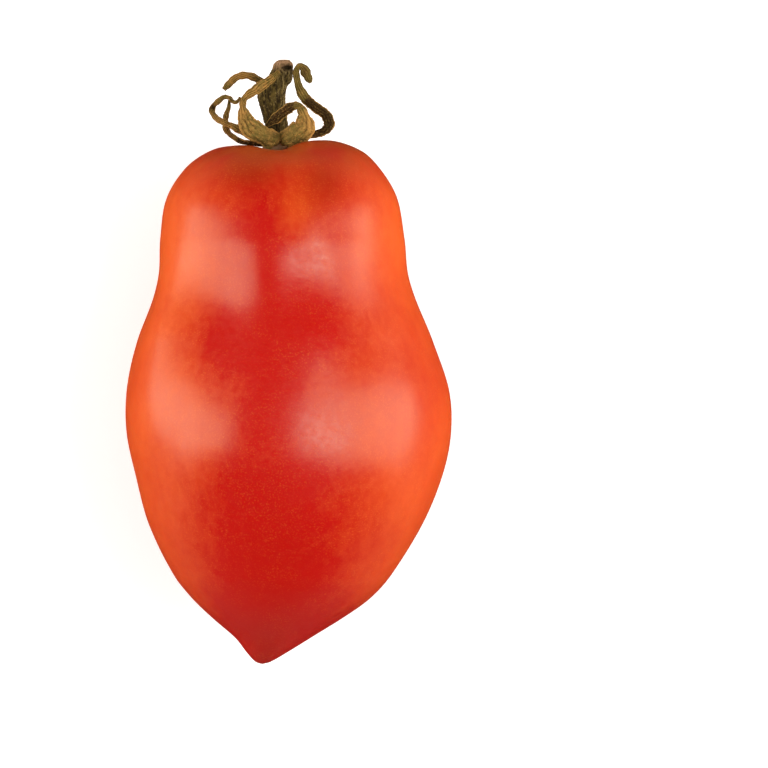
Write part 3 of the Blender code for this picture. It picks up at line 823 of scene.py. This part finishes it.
def skin_rings(settings):
    """Points of the skin in millimetres, ring by ring from the stem pit to the tip."""
    along, left, right, low, high, tilt = section_columns(FRUIT_SECTIONS, settings.rings)
    angle = angles_round(settings.segments)
    middle_x, half_x = (left + right) / 2, (right - left) / 2
    middle_z, half_z = (low + high) / 2, (high - low) / 2

    groove = sum(bell(angle_apart(angle, middle) / GROOVE_SPREAD) for middle in GROOVE_ANGLES)
    fade = bell(np.maximum(0.0, GROOVE_FULL_ABOVE - along) / GROOVE_FADE_LENGTH)
    growth = np.clip(half_z / FULL_SKIN_HALF_DEPTH, 0.0, 1.0)
    out = -settings.groove_depth / MILLIMETRE * fade * growth * groove
    for turn, place, spread, reach, rise in SKIN_RELIEF.values():
        out = out + rise * bell(angle_apart(angle, turn) / spread) * bell((along - place) / reach)
    crest = bell((half_x - CREST_HALF_WIDTH) / CREST_SPREAD) * (along > CREST_BEGINS)
    x = middle_x + half_x * np.cos(angle)
    z = middle_z + half_z * np.sin(angle)
    y = along + tilt / 2 * np.cos(angle) - settings.crest_dip / MILLIMETRE * crest * groove

    points = np.stack([x, y, z], -1).reshape(-1, 3)
    wave = [noise.noise(Vector(point) / SKIN_WAVE_LENGTH) for point in points]
    wave = np.array(wave).reshape(x.shape)
    out = out + settings.unevenness / MILLIMETRE * (wave - 1.0) / 2 * growth
    slope_x = np.cos(angle) / np.maximum(half_x, LEAST_HALF_SIZE)
    slope_z = np.sin(angle) / np.maximum(half_z, LEAST_HALF_SIZE)
    steep = np.hypot(slope_x, slope_z)
    return np.stack([x + out * slope_x / steep, y, np.maximum(z + out * slope_z / steep, 0.0)], -1)


def bark_knobs(along, angle):
    """Random knobs of the bark at each point of the stalk."""
    places = [
        (KNOBS_ROUND * math.cos(turn), KNOBS_ROUND * math.sin(turn), y * KNOBS_ALONG)
        for y in along[:, 0]
        for turn in angle[0]
    ]
    knobs = [noise.fractal(Vector(place), *KNOB_NOISE) for place in places]
    return np.array(knobs).reshape(len(along), -1)


def stalk_rings(settings):
    """Points of the stalk in millimetres with its rib height and hollow, ring by ring; the colours
    darken the low ribs and the hollow as painted shade.
    """
    along, left, right, half_z = section_columns(STALK_SECTIONS, settings.rings)
    angle = angles_round(settings.segments)
    middle_x, half_x = (left + right) / 2, (right - left) / 2
    knobs = bark_knobs(along, angle)
    turned = angle + STALK_TWIST * np.sin(along / STALK_TWIST_LENGTH) + KNOB_TURN * knobs
    ribs = 0.5 + sum(weight * np.cos(number * turned + start) for number, weight, start in STALK_RIBS)
    growth = np.clip(half_z / FULL_BARK_HALF_DEPTH, 0.0, 1.0)
    out = -settings.rib_depth / MILLIMETRE * (1.0 - ribs) * growth
    out = out + settings.roughness_depth / MILLIMETRE * (knobs - KNOB_LEVEL) * growth
    x = middle_x + (half_x + out) * np.cos(angle)
    y = np.broadcast_to(along, x.shape)
    z = AXIS_HEIGHT + (half_z + out) * np.sin(angle)
    hollow_x, hollow_y, wide, tall = JOINT_HOLLOW
    hollow = bell((x - hollow_x) / wide) * bell((y - hollow_y) / tall) * (np.sin(angle) > 0)
    z = z - settings.hollow_depth / MILLIMETRE * hollow * growth
    # The rib height and the hollow are kept for the painted shade of the furrows and the hollow.
    height = np.clip(ribs + KNOB_SHADE * knobs, 0.0, 1.0)
    return np.stack([x, y, z], -1), height, np.clip(hollow * HOLLOW_SHADE, 0.0, 1.0)


def without_repeats(values):
    """One value for each point of closed_tube, whose end rings are single points."""
    return np.concatenate([values[:1, 0], values[1:-1].ravel(), values[-1:, 0]])


def attribute_of(graph, name, kind):
    """What the points of the geometry carry under this name."""
    node = graph.add("GeometryNodeInputNamedAttribute", {"data_type": kind}, {0: name})
    return node.outputs["Attribute"]


def stored(graph, geometry, name, kind, value):
    """The geometry, with the value kept on its points under this name."""
    settings = {"data_type": kind, "domain": "POINT"}
    inputs = {"Geometry": geometry, "Name": name, "Value": value}
    return graph.made("GeometryNodeStoreNamedAttribute", settings, inputs)


def blade_values(settings):
    """The sizes that the blade tree takes, by the labels of its inputs."""
    return {
        "Steps": settings.steps,
        "Around": settings.around,
        "Thickness": settings.thickness,
        "Cup": settings.cup,
        "Ribs": float(settings.ribs),
        "Rib depth": settings.rib_depth,
        "Wrinkle depth": settings.wrinkle_depth,
        "Wrinkle size": settings.wrinkle_size,
        "Seed": 0.0,
    }


def blade_sockets(tree, values):
    """Names the blade tree's inputs and its output."""
    tree.interface.new_socket(name="Geometry", in_out="INPUT", socket_type="NodeSocketGeometry")
    for label, value in values.items():
        kind = "NodeSocketInt" if isinstance(value, int) else "NodeSocketFloat"
        socket = tree.interface.new_socket(name=label, in_out="INPUT", socket_type=kind)
        socket.default_value = value
    tree.interface.new_socket(name="Material", in_out="INPUT", socket_type="NodeSocketMaterial")
    tree.interface.new_socket(name="Geometry", in_out="OUTPUT", socket_type="NodeSocketGeometry")


def blade_line(graph, given):
    """The smooth line of the blade, whose points know their place and the directions there."""
    line = graph.made("GeometryNodeMeshToCurve", None, {"Mesh": given["Geometry"]})
    line = graph.made("GeometryNodeCurveSplineType", {"spline_type": "CATMULL_ROM"}, {"Curve": line})
    even = {"Curve": line, "Count": given["Steps"]}
    line = graph.made("GeometryNodeResampleCurve", {"mode": "COUNT"}, even)
    tangent = graph.made("GeometryNodeInputTangent")
    flat = graph.vector("NORMALIZE", graph.vector("CROSS_PRODUCT", tangent, (0.0, 0.0, 1.0)))
    turn = graph.times(attribute_of(graph, "roll", "FLOAT"), -1.0)
    across = graph.made(
        "ShaderNodeVectorRotate",
        {"rotation_type": "AXIS_ANGLE"},
        {"Vector": flat, "Axis": tangent, "Angle": turn},
    )
    upright = graph.vector("CROSS_PRODUCT", across, tangent)
    line = stored(graph, line, "middle", "FLOAT_VECTOR", graph.made("GeometryNodeInputPosition"))
    line = stored(graph, line, "across", "FLOAT_VECTOR", across)
    line = stored(graph, line, "upright", "FLOAT_VECTOR", upright)
    return stored(graph, line, "along", "FLOAT", graph.made("GeometryNodeSplineParameter"))


def blade_profile(graph, given):
    """The circle that is swept along the line, whose points know their side and face."""
    inputs = {"Resolution": given["Around"], "Radius": 1.0}
    ring = graph.made("GeometryNodeCurvePrimitiveCircle", None, inputs)
    parts = graph.add("ShaderNodeSeparateXYZ", None, {0: graph.made("GeometryNodeInputPosition")})
    ring = stored(graph, ring, "side", "FLOAT", parts.outputs[0])
    return stored(graph, ring, "face", "FLOAT", parts.outputs[1])


def blade_shape(graph, given, blade):
    """The swept blade, frayed at its sides, cupped, ridged and wrinkled."""
    side, face, along, half_width = (
        attribute_of(graph, key, "FLOAT") for key in ("side", "face", "along", "half_width")
    )
    middle, across, upright = (
        attribute_of(graph, key, "FLOAT_VECTOR") for key in ("middle", "across", "upright")
    )
    seed = graph.made("ShaderNodeCombineXYZ", None, {2: given["Seed"]})
    shifted = graph.vector("ADD", middle, seed)
    teeth = graph.between(graph.noise(shifted, FRAY_SIZE, 2.0, 0.6), 0.2, 0.8, -FRAY_SHARE, FRAY_SHARE)
    teeth = graph.times(graph.math("MINIMUM", half_width, FRAY_HALF_WIDTH), teeth)
    sideways = graph.times(side, graph.math("ADD", half_width, teeth))

    within = graph.math("SUBTRACT", 1.0, graph.times(side, side))
    cupped = graph.times(graph.times(within, given["Cup"]), half_width)
    spot = graph.vector("ADD", shifted, graph.scaled(across, sideways))
    wander = graph.math("SUBTRACT", graph.noise(spot, WANDER_SIZE), 0.5)
    phase = graph.times(graph.times(side, given["Ribs"]), math.pi)
    wave = graph.math("COSINE", graph.math("ADD", phase, graph.times(wander, WANDER_TURN)))
    ridges = graph.times(graph.times(wave, given["Rib depth"]), graph.between(along, *RIDGE_FADE))
    wrinkles = graph.math("SUBTRACT", graph.noise(spot, given["Wrinkle size"], 3.0), 0.5)
    wrinkles = graph.times(wrinkles, given["Wrinkle depth"])
    slim = graph.between(graph.math("ABSOLUTE", side), 0.3, 1.0, 0.5, 0.35)
    lift = graph.times(graph.times(face, given["Thickness"]), slim)
    for part in (cupped, ridges, wrinkles):
        lift = graph.math("ADD", lift, part)

    moved = graph.vector("ADD", graph.scaled(across, sideways), graph.scaled(upright, lift))
    inputs = {"Geometry": blade, "Position": graph.vector("ADD", middle, moved)}
    blade = graph.made("GeometryNodeSetPosition", None, inputs)
    blade = stored(graph, blade, "along", "FLOAT", along)
    return stored(graph, blade, "ridge", "FLOAT", wave)


def blade_tree(values):
    """Geometry nodes that sweep a thin, cupped, ribbed and wrinkled blade along a line of stations.

    The line's points carry half_width in metres and roll in radians.
    """
    tree = bpy.data.node_groups.new("dried_sepal_blade", "GeometryNodeTree")
    graph = Graph(tree)
    blade_sockets(tree, values)
    given = graph.add("NodeGroupInput").outputs
    line = blade_line(graph, given)
    sweep = {"Curve": line, "Profile Curve": blade_profile(graph, given), "Fill Caps": True}
    blade = blade_shape(graph, given, graph.made("GeometryNodeCurveToMesh", None, sweep))
    blade = graph.made("GeometryNodeSetShadeSmooth", None, {0: blade})
    blade = graph.made("GeometryNodeRealizeInstances", None, {0: blade})
    inputs = {"Geometry": blade, "Material": given["Material"]}
    blade = graph.made("GeometryNodeSetMaterial", None, inputs)
    graph.add("NodeGroupOutput", None, {"Geometry": blade})
    return tree


def set_modifier_inputs(modifier, values):
    """Sets a geometry nodes modifier's inputs by their labels, through the sockets' identifiers."""
    for item in modifier.node_group.interface.items_tree:
        if item.item_type == "SOCKET" and item.in_out == "INPUT" and item.name in values:
            modifier[item.identifier] = values[item.name]


def plain_mesh(obj, name):
    """The object's evaluated geometry as a mesh of its own, with the object removed."""
    depsgraph = bpy.context.evaluated_depsgraph_get()
    mesh = bpy.data.meshes.new_from_object(
        obj.evaluated_get(depsgraph), preserve_all_data_layers=True, depsgraph=depsgraph
    )
    mesh.name = name
    source = obj.data
    bpy.data.objects.remove(obj, do_unlink=True)
    bpy.data.meshes.remove(source)
    outward(mesh)
    return mesh


def inner_share(node, along):
    """How far each place along a sepal shows its dark inner face."""
    inner = np.zeros(len(along))
    for start, end in INNER_STRETCHES.get(node, ()):
        rise = np.clip((along - start) / INNER_FADE, 0, 1)
        fall = np.clip((end - along) / INNER_FADE + 1, 0, 1)
        inner = np.maximum(inner, rise * fall)
    return inner


def sepal_mesh(name, node, tree, values):
    """One dried sepal swept along its stations."""
    stations = np.array(SEPAL_STATIONS[node])
    points = (stations[:, :3] + (0.0, 0.0, AXIS_HEIGHT)) * MILLIMETRE
    line = bpy.data.meshes.new(name + "_line")
    line.from_pydata(points.tolist(), [(step, step + 1) for step in range(len(points) - 1)], [])
    store(line, "half_width", stations[:, 3] * MILLIMETRE / 2)
    store(line, "roll", np.radians(stations[:, 4]))
    holder = bpy.data.objects.new(name + "_line", line)
    bpy.context.scene.collection.objects.link(holder)
    modifier = holder.modifiers.new("blade", "NODES")
    modifier.node_group = tree
    set_modifier_inputs(modifier, values)
    mesh = plain_mesh(holder, name)
    along = np.empty(len(mesh.vertices), np.float32)
    mesh.attributes["along"].data.foreach_get("value", along)
    store(mesh, "inner", inner_share(node, along))
    return mesh


def camera_above(settings):
    """The camera that looks straight down on the fruit."""
    lens = bpy.data.cameras.new("studio_camera")
    lens.sensor_width = SENSOR_WIDTH
    lens.lens = SENSOR_WIDTH * settings.camera_distance / settings.field
    camera = bpy.data.objects.new("studio_camera", lens)
    camera.location = Vector(settings.view_middle) + Vector((0.0, 0.0, settings.camera_distance))
    bpy.context.scene.collection.objects.link(camera)
    bpy.context.scene.camera = camera


def pale_floor(settings):
    """The level paper that the fruit lies on."""
    floor = bpy.data.meshes.new("floor")
    signs = ((-1, -1), (1, -1), (1, 1), (-1, 1))
    corners = [(x * FLOOR_HALF_WIDTH, y * FLOOR_HALF_WIDTH, 0.0) for x, y in signs]
    floor.from_pydata(corners, [], [(0, 1, 2, 3)])
    floor.materials.append(floor_material(settings))
    ground = bpy.data.objects.new("floor", floor)
    bpy.context.scene.collection.objects.link(ground)
    ground.visible_glossy = False


def softbox(name, place, aim, size, power, tint=WHITE, glossy=True):
    """A rectangular studio light that faces a point."""
    light = bpy.data.lights.new(name, "AREA")
    light.shape = "RECTANGLE"
    light.size, light.size_y = size
    light.energy = power
    light.color = tint
    lamp = bpy.data.objects.new(name, light)
    lamp.location = place
    lamp.rotation_euler = (Vector(aim) - Vector(place)).to_track_quat("-Z", "Y").to_euler()
    lamp.visible_glossy = glossy
    bpy.context.scene.collection.objects.link(lamp)


def studio_lights(settings):
    """Tall softboxes at both sides, a smaller one high on the right, and a fill overhead."""
    for name, place in SIDE_BOX_PLACES.items():
        softbox(name, place, SIDE_BOX_AIM, SIDE_BOX_SIZE, settings.side_light, settings.light_tint)
    aim = (0.0, 0.0, AXIS_HEIGHT * MILLIMETRE)
    power, tint = settings.upper_light, settings.upper_tint
    softbox("upper_right_softbox", UPPER_BOX_PLACE, aim, UPPER_BOX_SIZE, power, tint)
    softbox("overhead_fill", FILL_BOX_PLACE, aim, FILL_BOX_SIZE, settings.fill_light, glossy=False)


def even_world(strength):
    """Even white light from all round, which the gloss doesn't mirror."""
    world = bpy.data.worlds.new("even_light")
    world.use_nodes = True
    background = world.node_tree.nodes["Background"]
    background.inputs["Color"].default_value = opaque(WHITE)
    background.inputs["Strength"].default_value = strength
    world.cycles_visibility.glossy = False
    bpy.context.scene.world = world


class TOMATO_OT_stage(bpy.types.Operator):
    """Make the pale floor, the soft lights and the camera that looks down on the fruit"""

    bl_idname = "tomato.stage"
    bl_label = "Build Stage"

    def execute(self, context):
        settings = context.scene.tomato_stage
        camera_above(settings)
        pale_floor(settings)
        studio_lights(settings)
        even_world(settings.world_light)
        context.scene.view_settings.view_transform = "Standard"
        return {"FINISHED"}


class TOMATO_OT_skin(bpy.types.Operator):
    """Build the fruit's skin with its lobes, grooves and stem pit"""

    bl_idname = "tomato.skin"
    bl_label = "Build Skin"

    def execute(self, context):
        settings = context.scene.tomato_skin
        rings = skin_rings(settings) * MILLIMETRE
        mesh = closed_tube("tomato_skin", rings, skin_material(settings))
        place_piece(mesh, "ripe_fruit", "fruit")
        return {"FINISHED"}


class TOMATO_OT_stalk(bpy.types.Operator):
    """Build the ribbed stalk with its broken joint"""

    bl_idname = "tomato.stalk"
    bl_label = "Build Stalk"

    def execute(self, context):
        settings = context.scene.tomato_stalk
        rings, height, hollow = stalk_rings(settings)
        mesh = closed_tube("ribbed_stalk", rings * MILLIMETRE, stalk_material(settings))
        store(mesh, "height", without_repeats(height))
        store(mesh, "hollow", without_repeats(hollow))
        place_piece(mesh, "ribbed_stalk", "stalk")
        return {"FINISHED"}


class TOMATO_OT_sepals(bpy.types.Operator):
    """Build the six dried sepals round the stalk"""

    bl_idname = "tomato.sepals"
    bl_label = "Build Sepals"

    def execute(self, context):
        settings = context.scene.tomato_sepals
        values = blade_values(settings)
        tree = blade_tree(values)
        materials = {tint: sepal_material(settings, tint) for tint in GOLDEN_SHARES}
        for number, node in enumerate(SEPAL_STATIONS, start=1):
            name = node.replace("sepal", "dried_sepal")
            values["Seed"] = number * SEED_STEP
            values["Material"] = materials["olive" if node in OLIVE_SEPALS else "golden"]
            mesh = sepal_mesh(name, node, tree, values)
            place_piece(mesh, name, node)
        return {"FINISHED"}


class TOMATO_PT_panel(bpy.types.Panel):
    """Lists the pieces of the tomato and their settings"""

    bl_idname = "TOMATO_PT_panel"
    bl_label = "Plum Tomato"
    bl_space_type = "VIEW_3D"
    bl_region_type = "UI"
    bl_category = "Tomato"

    def draw(self, context):
        for operator, group in PIECES:
            box = self.layout.box()
            box.operator(operator.bl_idname)
            settings = getattr(context.scene, group)
            for name in settings.bl_rna.properties.keys():
                if name not in ("rna_type", "name"):
                    box.prop(settings, name)


PIECES = (
    (TOMATO_OT_stage, "tomato_stage"),
    (TOMATO_OT_skin, "tomato_skin"),
    (TOMATO_OT_stalk, "tomato_stalk"),
    (TOMATO_OT_sepals, "tomato_sepals"),
)
SETTINGS = {
    "tomato_stage": TomatoStageSettings,
    "tomato_skin": TomatoSkinSettings,
    "tomato_stalk": TomatoStalkSettings,
    "tomato_sepals": TomatoSepalSettings,
}


def register():
    for group, settings in SETTINGS.items():
        bpy.utils.register_class(settings)
        setattr(bpy.types.Scene, group, PointerProperty(type=settings))
    for operator, _ in PIECES:
        bpy.utils.register_class(operator)
    bpy.utils.register_class(TOMATO_PT_panel)


def unregister():
    bpy.utils.unregister_class(TOMATO_PT_panel)
    for operator, _ in PIECES:
        bpy.utils.unregister_class(operator)
    for group, settings in SETTINGS.items():
        delattr(bpy.types.Scene, group)
        bpy.utils.unregister_class(settings)


def main():
    register()
    bpy.ops.tomato.stage()
    bpy.ops.tomato.skin()
    bpy.ops.tomato.stalk()
    bpy.ops.tomato.sepals()


if __name__ == "__main__":
    main()
